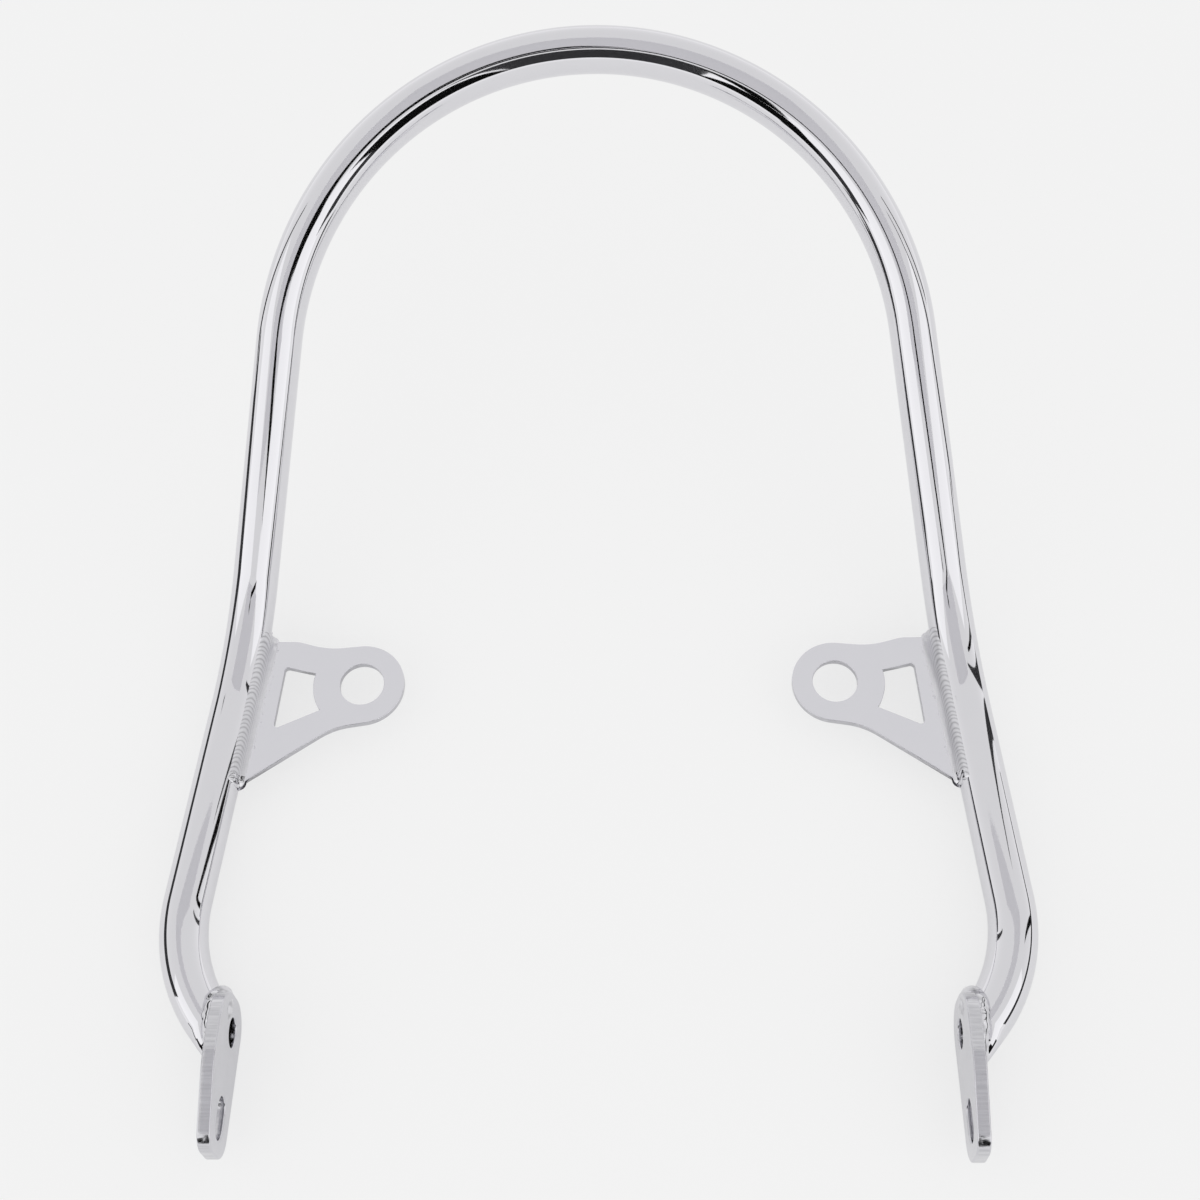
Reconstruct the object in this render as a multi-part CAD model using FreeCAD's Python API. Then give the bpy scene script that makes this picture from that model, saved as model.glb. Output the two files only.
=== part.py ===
import FreeCAD, Part
import math
import os

from FreeCAD import Vector

# Passenger grab rail. Millimetres. X across (right is +X), Y rearward, Z up.
# The origin is midway between the two gusset holes, on the plates' mid-plane.
os.makedirs("parts", exist_ok=True)

# Tube
TUBE_OD = 19.0
TUBE_WALL = 2.0
ARCH_RADIUS = 132.0          # centreline
ARCH_RISE_DEG = 35.0         # slope of the plane of the arch and legs
ARCH_CENTRE_ALONG = 109.0    # from the gusset bend to the arch centre, along that slope
BEND_X = 148.5               # gusset bend, corner of the centreline
BEND_Y = 20.5
BEND_RADIUS = 97.0
FRONT_X = 163.0              # front bend, corner of the centreline
FRONT_Y = -119.5
FRONT_RADIUS = 63.0
END_INWARD = 21.5            # from the front corner to the tube's end on the tab, across
END_AHEAD = 25.3             # and forward

# Gusset plate, right side
PLATE_T = 3.0
HOLE_X = 98.5
HOLE_R = 9.25
BOSS_R = 17.75               # round inner end of the plate
DIP_FROM_HOLE = (15.5, 16.3)        # upper edge: a shallow hollow
DIP_R = 40.0
SHOULDER_FROM_HOLE = (28.5, 20.0)   # then a shoulder, square to the tube
SHOULDER_R = 14.0
WAIST_FROM_HOLE = (10.5, -19.6)     # lower edge: sweeps out to a tip on the tube
WAIST_R = 50.0
PLATE_TIP_Y = -51.85

# Lightening cut-out of the plate
CUT_ARC_R = 20.5             # its hole-side edge, about the hole
CUT_CORNER_R = 1.5
CUT_REAR_FROM_HOLE = (6.5, 2.1)     # where its side edges would end inside that arc
CUT_FRONT_FROM_HOLE = (6.5, -6.9)
CUT_REAR_Y = 8.2             # its outer corners
CUT_FRONT_Y = -20.2
CUT_REAR_INBOARD = 18.2      # of the tube's centreline
CUT_FRONT_INBOARD = 18.7
PLATE_EDGE_R = 0.4

# End tab, right side, laid out from its round hole
TAB_T = 5.0
TAB_HOLE_R = 5.5
TAB_HOLE_BEHIND = 0.8        # of the centreline's end
SLOT_PITCH = 32.0
SLOT_WIDTH = 11.0
SLOT_LENGTH = 15.5
TAB_REAR_REACH = 13.0
TAB_SHOULDER_REACH = 16.0
TAB_NOSE_REACH = 45.5
TAB_LOW_Z = -13.0
TAB_HIGH_Z = 20.0
TAB_NOSE_Z = 10.0
TAB_LOW_REAR_R = 12.5
TAB_HIGH_REAR_R = 14.0
TAB_SHOULDER_R = 30.0
TAB_NOSE_R = 9.0
TAB_RISE_DEG = 6.0           # the nose is turned up about the round hole
TAB_EDGE_R = 0.6

# Weld beads
GUSSET_BEAD_R = 3.4
GUSSET_BEAD_OFFSET = 0.8     # bead centre from the corner, both ways
GUSSET_BEAD_REAR_INSET = 2.0   # from the plate's corner on the tube
GUSSET_BEAD_TIP_INSET = 8.0
TAB_BEAD_R = 2.6

CORNER_SHARE = 0.49          # most of a straight side that one corner's round may take

TUBE_R = TUBE_OD / 2.0
TAB_OUTER_X = FRONT_X - END_INWARD
TAB_INNER_X = TAB_OUTER_X - TAB_T
END_Y = FRONT_Y - END_AHEAD
TAB_HOLE_Y = END_Y + TAB_HOLE_BEHIND
RISE = math.radians(ARCH_RISE_DEG)


def on_slope(x, along):
    """Point on the arch plane, by distance up the slope from the gusset bend."""
    return Vector(x, BEND_Y + along * math.cos(RISE), along * math.sin(RISE))


def centreline_x(y):
    """X of the lower run's centreline, on the right, from the gusset bend to the front bend."""
    return BEND_X + (FRONT_X - BEND_X) * (BEND_Y - y) / (BEND_Y - FRONT_Y)


def bend(before, corner, after, radius):
    """Start, middle and end of the arc that rounds a corner."""
    u = (before - corner).normalize()
    v = (after - corner).normalize()
    half = u.getAngle(v) / 2.0
    reach = radius / math.tan(half)
    inward = (u + v).normalize()
    middle = corner + inward * (radius / math.sin(half) - radius)
    return corner + u * reach, middle, corner + v * reach


def mirrored(point):
    """The same point on the left side."""
    return Vector(-point.x, point.y, point.z)


def tube_path():
    """Centreline wire from the left end to the right end, run on past both tabs."""
    end = Vector(TAB_OUTER_X, END_Y, 0)
    front = Vector(FRONT_X, FRONT_Y, 0)
    corner = Vector(BEND_X, BEND_Y, 0)
    reach = math.hypot(BEND_X, ARCH_CENTRE_ALONG)
    lean = math.atan2(ARCH_CENTRE_ALONG, -BEND_X) - math.asin(ARCH_RADIUS / reach)
    leg = math.sqrt(reach ** 2 - ARCH_RADIUS ** 2)
    top_of_leg = on_slope(BEND_X + leg * math.cos(lean), leg * math.sin(lean))
    f0, f1, f2 = bend(end, front, corner, FRONT_RADIUS)
    g0, g1, g2 = bend(front, corner, top_of_leg, BEND_RADIUS)
    over = end + (end - front).normalize() * (2.0 * TUBE_OD)
    right = [("line", over, f0), ("arc", f0, f1, f2), ("line", f2, g0),
             ("arc", g0, g1, g2), ("line", g2, top_of_leg)]
    edges = []
    for kind, *pts in right:
        pts = [mirrored(p) for p in pts]
        edges.append(Part.makeLine(*pts) if kind == "line" else Part.Arc(*pts).toShape())
    crown = on_slope(0, ARCH_CENTRE_ALONG + ARCH_RADIUS)
    edges.append(Part.Arc(mirrored(top_of_leg), crown, top_of_leg).toShape())
    for kind, *pts in reversed(right):
        pts = list(reversed(pts))
        edges.append(Part.makeLine(*pts) if kind == "line" else Part.Arc(*pts).toShape())
    return Part.Wire(edges)


def swept(path, radius):
    """Solid rod along the path, trimmed flush with the outer faces of the two tabs."""
    first = path.OrderedEdges[0]
    start = first.valueAt(first.FirstParameter)
    along = first.tangentAt(first.FirstParameter)
    rod = path.makePipeShell([Part.Wire([Part.makeCircle(radius, start, along)])], True, True)
    trim = Part.makeBox(2.0 * TAB_OUTER_X, 4.0 * TUBE_OD, 2.0 * TUBE_OD,
                        Vector(-TAB_OUTER_X, END_Y - 3.0 * TUBE_OD, -TUBE_OD))
    return rod.cut(trim)


def fitted(before, corner, after, radius):
    """The radius, or what the corner's shorter side has room for."""
    u = before - corner
    v = after - corner
    room = CORNER_SHARE * min(u.Length, v.Length)
    return min(radius, room * math.tan(u.getAngle(v) / 2.0))


def rounded_outline(corners):
    """Closed wire through (point, radius) corners, each rounded in its own plane."""
    count = len(corners)
    arcs = []
    for i, (point, radius) in enumerate(corners):
        before, after = corners[i - 1][0], corners[(i + 1) % count][0]
        if radius:
            arcs.append(bend(before, point, after, fitted(before, point, after, radius)))
        else:
            arcs.append((point, None, point))
    edges = []
    for i, (start, middle, stop) in enumerate(arcs):
        if middle is not None:
            edges.append(Part.Arc(start, middle, stop).toShape())
        edges.append(Part.makeLine(stop, arcs[(i + 1) % count][0]))
    return Part.Wire(edges)


def eased(solid, plane_values, axis, radius):
    """Round the outline edges that lie wholly in the given planes across an axis."""
    chosen = []
    for face in solid.Faces:
        across = abs(face.normalAt(0, 0)[axis]) > 0.999
        if across and any(abs(face.CenterOfMass[axis] - v) < 1e-6 for v in plane_values):
            chosen += face.OuterWire.Edges
    return solid.makeFillet(radius, chosen)


def tangent_point(centre, radius, point, side):
    """Where the line from a point touches a circle in the XY plane, side +1 for the upper one."""
    away = point - centre
    angle = math.atan2(away.y, away.x) + side * math.acos(radius / away.Length)
    return centre + Vector(math.cos(angle), math.sin(angle), 0) * radius


def gusset(tube_solid):
    """Right gusset plate, its outer edge cut to the tube."""

    def at(x, y):
        return Vector(x, y, -PLATE_T / 2.0)

    def from_hole(offset):
        return at(HOLE_X + offset[0], offset[1])

    hole = at(HOLE_X, 0)
    dip, shoulder, waist = [from_hole(o) for o in (DIP_FROM_HOLE, SHOULDER_FROM_HOLE, WAIST_FROM_HOLE)]
    rear = at(centreline_x(shoulder.y), shoulder.y)
    tip = at(centreline_x(PLATE_TIP_Y), PLATE_TIP_Y)
    upper = tangent_point(hole, BOSS_R, dip, 1)
    lower = tangent_point(hole, BOSS_R, waist, -1)
    d0, d1, d2 = bend(upper, dip, shoulder, fitted(upper, dip, shoulder, DIP_R))
    s0, s1, s2 = bend(dip, shoulder, rear, fitted(dip, shoulder, rear, SHOULDER_R))
    w0, w1, w2 = bend(tip, waist, lower, fitted(tip, waist, lower, WAIST_R))
    outline = Part.Wire([
        Part.makeLine(upper, d0), Part.Arc(d0, d1, d2).toShape(), Part.makeLine(d2, s0),
        Part.Arc(s0, s1, s2).toShape(), Part.makeLine(s2, rear), Part.makeLine(rear, tip),
        Part.makeLine(tip, w0), Part.Arc(w0, w1, w2).toShape(), Part.makeLine(w2, lower),
        Part.Arc(lower, at(HOLE_X - BOSS_R, 0), upper).toShape()])
    plate = Part.Face(outline).extrude(Vector(0, 0, PLATE_T))
    plate = eased(plate, (-PLATE_T / 2.0, PLATE_T / 2.0), 2, PLATE_EDGE_R)
    plate = plate.cut(Part.makeCylinder(HOLE_R, PLATE_T, hole))
    window = rounded_outline([
        (from_hole(CUT_REAR_FROM_HOLE), 0),
        (at(centreline_x(CUT_REAR_Y) - CUT_REAR_INBOARD, CUT_REAR_Y), CUT_CORNER_R),
        (at(centreline_x(CUT_FRONT_Y) - CUT_FRONT_INBOARD, CUT_FRONT_Y), CUT_CORNER_R),
        (from_hole(CUT_FRONT_FROM_HOLE), 0)])
    cutter = Part.Face(window).extrude(Vector(0, 0, PLATE_T))
    cutter = cutter.cut(Part.makeCylinder(CUT_ARC_R, PLATE_T, hole))
    return plate.cut(cutter).cut(tube_solid)


def tab():
    """Right end tab: a flat plate across the tube end, hole and slot through it."""

    def at(ahead, z):
        return Vector(TAB_INNER_X, TAB_HOLE_Y - ahead, z)

    outline = rounded_outline([
        (at(-TAB_REAR_REACH, TAB_LOW_Z), TAB_LOW_REAR_R),
        (at(TAB_NOSE_REACH, TAB_LOW_Z), TAB_NOSE_R),
        (at(TAB_NOSE_REACH, TAB_NOSE_Z), TAB_NOSE_R),
        (at(TAB_SHOULDER_REACH, TAB_HIGH_Z), TAB_SHOULDER_R),
        (at(-TAB_REAR_REACH, TAB_HIGH_Z), TAB_HIGH_REAR_R)])
    through = Vector(TAB_T, 0, 0)
    plate = Part.Face(outline).extrude(through)
    plate = eased(plate, (TAB_INNER_X, TAB_OUTER_X), 0, TAB_EDGE_R)
    plate = plate.cut(Part.makeCylinder(TAB_HOLE_R, TAB_T, at(0, 0), through))
    r = SLOT_WIDTH / 2.0
    front, rear = SLOT_PITCH + SLOT_LENGTH / 2.0, SLOT_PITCH - SLOT_LENGTH / 2.0
    slot = Part.Wire([
        Part.makeLine(at(front - r, r), at(rear + r, r)),
        Part.Arc(at(rear + r, r), at(rear, 0), at(rear + r, -r)).toShape(),
        Part.makeLine(at(rear + r, -r), at(front - r, -r)),
        Part.Arc(at(front - r, -r), at(front, 0), at(front - r, r)).toShape()])
    plate = plate.cut(Part.Face(slot).extrude(through))
    plate.rotate(at(0, 0), through, -TAB_RISE_DEG)
    return plate


def tube_side(path, y, z):
    """Point on the right run's inboard side, at the given Y and Z."""
    clear, inside = BEND_X - 3.0 * TUBE_R, BEND_X
    while inside - clear > 1e-6:
        x = (clear + inside) / 2.0
        if path.distToShape(Part.Vertex(x, y, z))[0] > TUBE_R:
            clear = x
        else:
            inside = x
    return Vector(inside, y, z)


def gusset_bead(path, side, tube_solid, plate):
    """Bead in the corner of plate and tube: side +1 is the upper one, -1 the lower."""
    z = side * PLATE_T / 2.0
    offset = Vector(-GUSSET_BEAD_OFFSET, 0, side * GUSSET_BEAD_OFFSET)
    ends = (SHOULDER_FROM_HOLE[1] - GUSSET_BEAD_REAR_INSET, PLATE_TIP_Y + GUSSET_BEAD_TIP_INSET)
    rear, front = [tube_side(path, y, z) + offset for y in ends]
    along = front - rear
    bead = Part.makeCylinder(GUSSET_BEAD_R, along.Length, rear, along)
    for tip, outward in ((rear, rear - front), (front, along)):
        bead = bead.fuse(Part.makeSphere(GUSSET_BEAD_R, tip, outward, 0, 90, 360))
    # Past the plate's ends the upper and lower beads meet on its mid-plane.
    box = bead.BoundBox
    low, high = (0, box.ZMax) if side > 0 else (box.ZMin, 0)
    own_side = Part.makeBox(box.XLength, box.YLength, high - low, Vector(box.XMin, box.YMin, low))
    bead = bead.cut(tube_solid).cut(plate).common(own_side)
    return min(bead.Solids, key=lambda solid: solid.CenterOfMass.x)


def tab_bead(tube_solid, plate):
    """Bead round the tube's oblique end on the tab's outer face."""
    along = Vector(-END_INWARD, -END_AHEAD, 0).normalize()
    major = TUBE_R / abs(along.x)
    centre = Vector(TAB_OUTER_X, END_Y, 0)
    joint = Part.Ellipse(centre + Vector(0, major, 0), centre + Vector(0, 0, TUBE_R), centre).toShape()
    start = joint.valueAt(joint.FirstParameter)
    ring = Part.makeCircle(TAB_BEAD_R, start, joint.tangentAt(joint.FirstParameter))
    bead = Part.Wire([joint]).makePipeShell([Part.Wire([ring])], True, True)
    return bead.cut(tube_solid).cut(plate)


def export(shape, name):
    """Write one node's solid to its own file."""
    solid = shape.Solids[0] if len(shape.Solids) == 1 else shape
    print(name, "solids", len(shape.Solids), "valid", shape.isValid(), "volume", round(shape.Volume, 1))
    solid.exportStep("parts/%s.step" % name)


PATH = tube_path()
TUBE_SOLID = swept(PATH, TUBE_R)
RIGHT = {
    "gusset": gusset(TUBE_SOLID),
    "end_tab": tab(),
}
RIGHT["gusset_weld_upper"] = gusset_bead(PATH, 1, TUBE_SOLID, RIGHT["gusset"])
RIGHT["gusset_weld_lower"] = gusset_bead(PATH, -1, TUBE_SOLID, RIGHT["gusset"])
RIGHT["tab_weld"] = tab_bead(TUBE_SOLID, RIGHT["end_tab"])

export(TUBE_SOLID.cut(swept(PATH, TUBE_R - TUBE_WALL)), "rail_tube")
for stem, right_shape in RIGHT.items():
    export(right_shape, "right_" + stem)
    export(right_shape.mirror(Vector(0, 0, 0), Vector(1, 0, 0)), "left_" + stem)
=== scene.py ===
"""Looks of a chromed passenger grab rail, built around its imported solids.

Sizes are millimetres in the rail's own frame (X right, Y rearward, Z up). A mesh is
scaled to metres when it is finished.
"""

import functools
import logging
import math
import random
from abc import ABC, abstractmethod
from dataclasses import dataclass, field
from enum import Enum
from typing import Any, Iterable, Optional, Sequence, Union

import bmesh
import bpy
from bmesh.types import BMEdge, BMesh, BMFace, BMVert
from mathutils import Matrix, Vector, noise
from mathutils.bvhtree import BVHTree
from mathutils.geometry import intersect_line_sphere


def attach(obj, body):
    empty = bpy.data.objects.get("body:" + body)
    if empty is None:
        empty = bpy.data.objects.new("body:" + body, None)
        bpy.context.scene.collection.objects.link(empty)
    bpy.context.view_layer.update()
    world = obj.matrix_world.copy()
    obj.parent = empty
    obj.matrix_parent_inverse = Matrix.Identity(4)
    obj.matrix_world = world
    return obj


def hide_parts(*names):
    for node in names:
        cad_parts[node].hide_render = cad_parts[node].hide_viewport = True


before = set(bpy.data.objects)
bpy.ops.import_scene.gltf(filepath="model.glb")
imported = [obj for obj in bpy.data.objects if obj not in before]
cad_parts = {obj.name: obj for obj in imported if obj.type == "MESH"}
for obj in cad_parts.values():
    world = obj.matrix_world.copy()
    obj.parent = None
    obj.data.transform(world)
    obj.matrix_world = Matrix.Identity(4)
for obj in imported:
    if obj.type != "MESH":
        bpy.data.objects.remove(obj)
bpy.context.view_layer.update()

MM = 0.001
BODY = "root"
LOG = logging.getLogger("grab_rail")
PAINTED_GROOVE_SHADE = "groove_shade"
SEED_SHIFT = Vector((17.3, 5.1, 9.7))
GUSSET_SEED = 5
TAB_SEED = 20
Colour = tuple[float, float, float]
Pair = tuple[float, float]


class Option(Enum):
    """A choice that is part of a node's name."""

    @property
    def word(self) -> str:
        """The option's name as the nodes spell it."""
        return self.name.lower()


class Side(Option):
    """Which half of the rail a piece belongs to, as the sign of its X."""

    LEFT = -1
    RIGHT = 1


class Level(Option):
    """Which face of a gusset plate a bead lies on, as the sign of its Z."""

    UPPER = 1
    LOWER = -1


# Shader nodes


class Signal:
    """A value socket that takes part in Python arithmetic by adding Math nodes."""

    def __init__(self, graph: "Graph", socket: bpy.types.NodeSocket) -> None:
        """Keep the socket and the graph it belongs to."""
        self.graph = graph
        self.socket = socket

    def _math(self, operation: str, first: Any, second: Any) -> "Signal":
        """Add one Math node.

        Args:
            operation: The Math node's operation.
            first: Signal or number for the first input.
            second: Signal or number for the second input.

        Returns:
            The node's result.
        """
        node = self.graph.add("ShaderNodeMath", {"operation": operation}, {0: first, 1: second})
        return Signal(self.graph, node.outputs[0])

    def __add__(self, other: Union["Signal", float]) -> "Signal":
        """Sum of two signals."""
        return self._math("ADD", self, other)

    __radd__ = __add__

    def __sub__(self, other: Union["Signal", float]) -> "Signal":
        """Difference of two signals."""
        return self._math("SUBTRACT", self, other)

    def __rsub__(self, other: float) -> "Signal":
        """A number less this signal."""
        return self._math("SUBTRACT", other, self)

    def __mul__(self, other: Union["Signal", float]) -> "Signal":
        """Product of two signals."""
        return self._math("MULTIPLY", self, other)

    __rmul__ = __mul__


class Graph:
    """The node tree of one material, or of the world."""

    def __init__(self, owner: Union[bpy.types.Material, bpy.types.World]) -> None:
        """Clear the owner's tree and hold it.

        Args:
            owner: The material, or the world.
        """
        owner.use_nodes = True
        self.tree = owner.node_tree
        self.tree.nodes.clear()

    def add(
        self,
        kind: str,
        settings: Optional[dict[str, Any]] = None,
        sockets: Optional[dict[Union[str, int], Any]] = None,
    ) -> bpy.types.Node:
        """Add a node of any kind.

        Args:
            kind: The node's type name.
            settings: Node properties, set before its sockets.
            sockets: Input values, or signals and sockets to link, by name or index.

        Returns:
            The new node.
        """
        node = self.tree.nodes.new(kind)
        for name, value in (settings or {}).items():
            setattr(node, name, value)
        for name, value in (sockets or {}).items():
            source = value.socket if isinstance(value, Signal) else value
            if isinstance(source, bpy.types.NodeSocket):
                self.tree.links.new(source, node.inputs[name])
            else:
                node.inputs[name].default_value = source
        return node

    def place(self, stretch: Sequence[float] = (1.0, 1.0, 1.0)) -> bpy.types.NodeSocket:
        """Object coordinates, stretched.

        Args:
            stretch: Scale of the pattern along each axis.

        Returns:
            The vector socket.
        """
        coords = self.add("ShaderNodeTexCoord").outputs["Object"]
        return self.add("ShaderNodeMapping", None, {"Vector": coords, "Scale": stretch}).outputs["Vector"]

    def cloud(self, vector: bpy.types.NodeSocket, size: float, detail: float) -> Signal:
        """Soft noise about 0.5.

        Args:
            vector: Coordinates in metres.
            size: Width of one blotch in millimetres.
            detail: Octaves of finer noise.

        Returns:
            The noise value.
        """
        sockets = {"Vector": vector, "Scale": 1.0 / (size * MM), "Detail": detail}
        return Signal(self, self.add("ShaderNodeTexNoise", None, sockets).outputs["Fac"])

    def blend(
        self, factor: Signal, first: Union[Colour, bpy.types.NodeSocket], second: Colour
    ) -> bpy.types.NodeSocket:
        """Mix two colours.

        Args:
            factor: Share of the second colour.
            first: Linear RGB, or a colour socket.
            second: Linear RGB.

        Returns:
            The colour socket.
        """
        start = (*first, 1.0) if isinstance(first, tuple) else first
        sockets = {0: factor, 6: start, 7: (*second, 1.0)}
        return self.add("ShaderNodeMix", {"data_type": "RGBA"}, sockets).outputs[2]

    def bump(self, height: Signal) -> bpy.types.NodeSocket:
        """Normal from a height.

        Args:
            height: Height in millimetres.

        Returns:
            The normal socket.
        """
        sockets = {"Height": height, "Distance": MM, "Strength": 1.0}
        return self.add("ShaderNodeBump", None, sockets).outputs["Normal"]

    def light_path(self, *names: str) -> list[Signal]:
        """The Light Path outputs of the given names."""
        node = self.add("ShaderNodeLightPath")
        return [Signal(self, node.outputs[name]) for name in names]

    def surface(self, **sockets: Any) -> None:
        """Finish the tree with a Principled shader.

        Args:
            **sockets: Values or links by socket, with underscores for the spaces in its name.
        """
        named = {name.replace("_", " "): value for name, value in sockets.items()}
        shader = self.add("ShaderNodeBsdfPrincipled", None, named)
        self.add("ShaderNodeOutputMaterial", None, {"Surface": shader.outputs["BSDF"]})


# Finishes


@dataclass(frozen=True)
class Waves:
    """One layer of surface relief: blotch size, height, octaves and stretch of its pattern."""

    size: float
    height: float
    detail: float = 1.0
    stretch: tuple[float, float, float] = (1.0, 1.0, 1.0)


@dataclass(frozen=True)
class Finish(ABC):
    """A surface, with the name of its material."""

    name: str

    @abstractmethod
    def shade(self, graph: Graph) -> None:
        """Lay the finish's nodes in its material's tree."""


@dataclass(frozen=True)
class Chrome(Finish):
    """Bright plating over steel."""

    colour: Colour
    tint: Colour
    roughness: float
    haze: float
    haze_size: float
    relief: tuple[Waves, ...]
    haze_stretch: tuple[float, float, float] = (1.0, 1.0, 1.0)
    haze_detail: float = 3.0
    groove_shade: Optional[Colour] = None

    def shade(self, graph: Graph) -> None:
        """Lay the plating: hazy polish, a slight change of tint, painted shade in the grooves, and
        relief.

        Args:
            graph: The material's tree.
        """
        haze = graph.cloud(graph.place(self.haze_stretch), self.haze_size, self.haze_detail)
        height: Union[Signal, float] = 0.0
        for layer in self.relief:
            wave = graph.cloud(graph.place(layer.stretch), layer.size, layer.detail)
            height = wave * layer.height + height
        tone = graph.blend(haze, self.colour, self.tint)
        # Painted shade: where the groove attribute is set, the tone is darkened towards the groove
        # colour.
        if self.groove_shade is not None:
            depth = graph.add("ShaderNodeAttribute", {"attribute_name": PAINTED_GROOVE_SHADE}).outputs["Fac"]
            tone = graph.blend(Signal(graph, depth), tone, self.groove_shade)
        graph.surface(
            Base_Color=tone,
            Metallic=1.0,
            Roughness=haze * self.haze + (self.roughness - self.haze / 2.0),
            Normal=graph.bump(height),
        )


@dataclass(frozen=True)
class RawSteel(Finish):
    """Unplated, oxidised steel inside the tube."""

    colour: Colour
    rust: Colour
    patch: float
    patch_detail: float = 4.0
    roughness: float = 0.6
    roughening: float = 0.2
    pitting: float = 0.15

    def shade(self, graph: Graph) -> None:
        """Lay the dull, dark steel.

        Args:
            graph: The material's tree.
        """
        patches = graph.cloud(graph.place(), self.patch, self.patch_detail)
        graph.surface(
            Base_Color=graph.blend(patches, self.colour, self.rust),
            Roughness=patches * self.roughening + self.roughness,
            Normal=graph.bump(patches * self.pitting),
        )


@dataclass(frozen=True)
class Matt(Finish):
    """Plain paper or paint of the studio."""

    colour: Colour

    def shade(self, graph: Graph) -> None:
        """Lay the matt surface."""
        graph.surface(Base_Color=(*self.colour, 1.0), Roughness=1.0, Specular_IOR_Level=0.0)


@dataclass(frozen=True)
class Paper(Finish):
    """Pale floor that the camera sees as an even tone with a faint shadow."""

    colour: Colour
    tone: float
    evenness: float
    mirrored: float

    def shade(self, graph: Graph) -> None:
        """Lay the paper: lit by the studio, evened out for the camera and partly for reflections.

        Args:
            graph: The material's tree.
        """
        lit = graph.add("ShaderNodeBsdfDiffuse", None, {"Color": (*self.colour, 1.0)}).outputs[0]
        even = graph.add("ShaderNodeEmission", None, {"Color": (self.tone,) * 3 + (1.0,)}).outputs[0]
        seen, glossy, through = graph.light_path("Is Camera Ray", "Is Glossy Ray", "Is Transmission Ray")
        share = seen * self.evenness + (glossy + through) * self.mirrored
        mixed = graph.add("ShaderNodeMixShader", None, {0: share, 1: lit, 2: even}).outputs[0]
        graph.add("ShaderNodeOutputMaterial", None, {"Surface": mixed})


TUBE_CHROME = Chrome(
    "chrome_tube", (0.765, 0.76, 0.785), (0.75, 0.745, 0.775), 0.04, 0.03, 9.0,
    (Waves(26.0, 0.04), Waves(4.0, 0.002, 2.0)))
PLATE_CHROME = Chrome(
    "chrome_plate", (0.755, 0.75, 0.785), (0.735, 0.73, 0.77), 0.09, 0.05, 14.0,
    (Waves(18.0, 0.03), Waves(1.1, 0.002, 2.0)))
# Tab plating is darker than the plate's: painted shade, standing in for the shaded floor that the tabs
# mirror.
TAB_CHROME_PAINTED_SHADE = Chrome(
    "chrome_tab", (0.69, 0.685, 0.715), (0.62, 0.617, 0.65), 0.15, 0.08, 12.0,
    (Waves(14.0, 0.05), Waves(0.9, 0.004, 2.0)))
# The gusset plates' cut edges get a darker colour and tint: painted shade, standing in for the shaded
# floor that these walls mirror.
GUSSET_EDGE_PAINTED_SHADE = Chrome(
    "chrome_gusset_edge", (0.64, 0.637, 0.662), (0.46, 0.457, 0.482), 0.12, 0.08, 2.0,
    (Waves(6.0, 0.05), Waves(0.9, 0.02, 2.0, (1.0, 1.0, 0.1))), (1.0, 1.0, 0.1))
TAB_EDGE = Chrome(
    "chrome_tab_edge", (0.80, 0.797, 0.82), (0.46, 0.457, 0.485), 0.13, 0.1, 1.1,
    (Waves(7.0, 0.06), Waves(0.8, 0.03, 2.0, (0.08, 1.2, 1.2))), (0.08, 1.2, 1.2))
# Bead plating; its groove colour is painted shade in the grooves between ripples.
WELD_CHROME = Chrome(
    "chrome_weld", (0.79, 0.785, 0.81), (0.73, 0.726, 0.755), 0.36, 0.1, 2.5,
    (Waves(1.6, 0.008, 2.0), Waves(0.5, 0.003, 2.0)), groove_shade=(0.36, 0.358, 0.375))
# Plating of the bead ends and tab beads; its groove colour is painted shade in their hollows.
BLOB_CHROME = Chrome(
    "chrome_blob", (0.765, 0.76, 0.785), (0.72, 0.716, 0.745), 0.08, 0.05, 2.5,
    (Waves(2.0, 0.02, 2.0),), groove_shade=(0.40, 0.398, 0.415))
BORE_STEEL = RawSteel("bore_steel", (0.030, 0.028, 0.027), (0.055, 0.036, 0.026), 6.0)
FLOOR_PAPER = Paper("floor_paper", (0.9, 0.9, 0.9), 0.905, 0.75, 0.4)
BLACK_CARD = Matt("black_card", (0.004, 0.004, 0.004))
DARK_CARD = Matt("dark_card", (0.045, 0.045, 0.047))
PALE_CARD = Matt("pale_card", (0.78, 0.775, 0.795))


@functools.cache
def material_of(finish: Finish) -> bpy.types.Material:
    """Make a finish's one material, the first time that it is asked for.

    Args:
        finish: The finish.

    Returns:
        Its material.
    """
    material = bpy.data.materials.new(finish.name)
    finish.shade(Graph(material))
    return material


# Mesh helpers


@dataclass(frozen=True)
class Arc:
    """A round stretch of a path: where it starts and stops, and the turn between."""

    start: Vector
    stop: Vector
    centre: Vector
    axis: Vector
    angle: float


def round_corner(before: Vector, corner: Vector, after: Vector, radius: float, share: float = 1.0) -> Arc:
    """Arc that rounds a corner of a path.

    Args:
        before: A point on the way in.
        corner: The sharp corner.
        after: A point on the way out.
        radius: Radius of the round.
        share: Most of the shorter side that the round may take.

    Returns:
        The arc, turning from the way in to the way out.
    """
    u, v = before - corner, after - corner
    half = u.angle(v) / 2.0
    reach = min(radius / math.tan(half), share * min(u.length, v.length))
    inward = (u.normalized() + v.normalized()).normalized()
    centre = corner + inward * (reach / math.cos(half))
    start, stop = corner + u.normalized() * reach, corner + v.normalized() * reach
    return Arc(start, stop, centre, v.cross(u).normalized(), math.pi - 2.0 * half)


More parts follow.
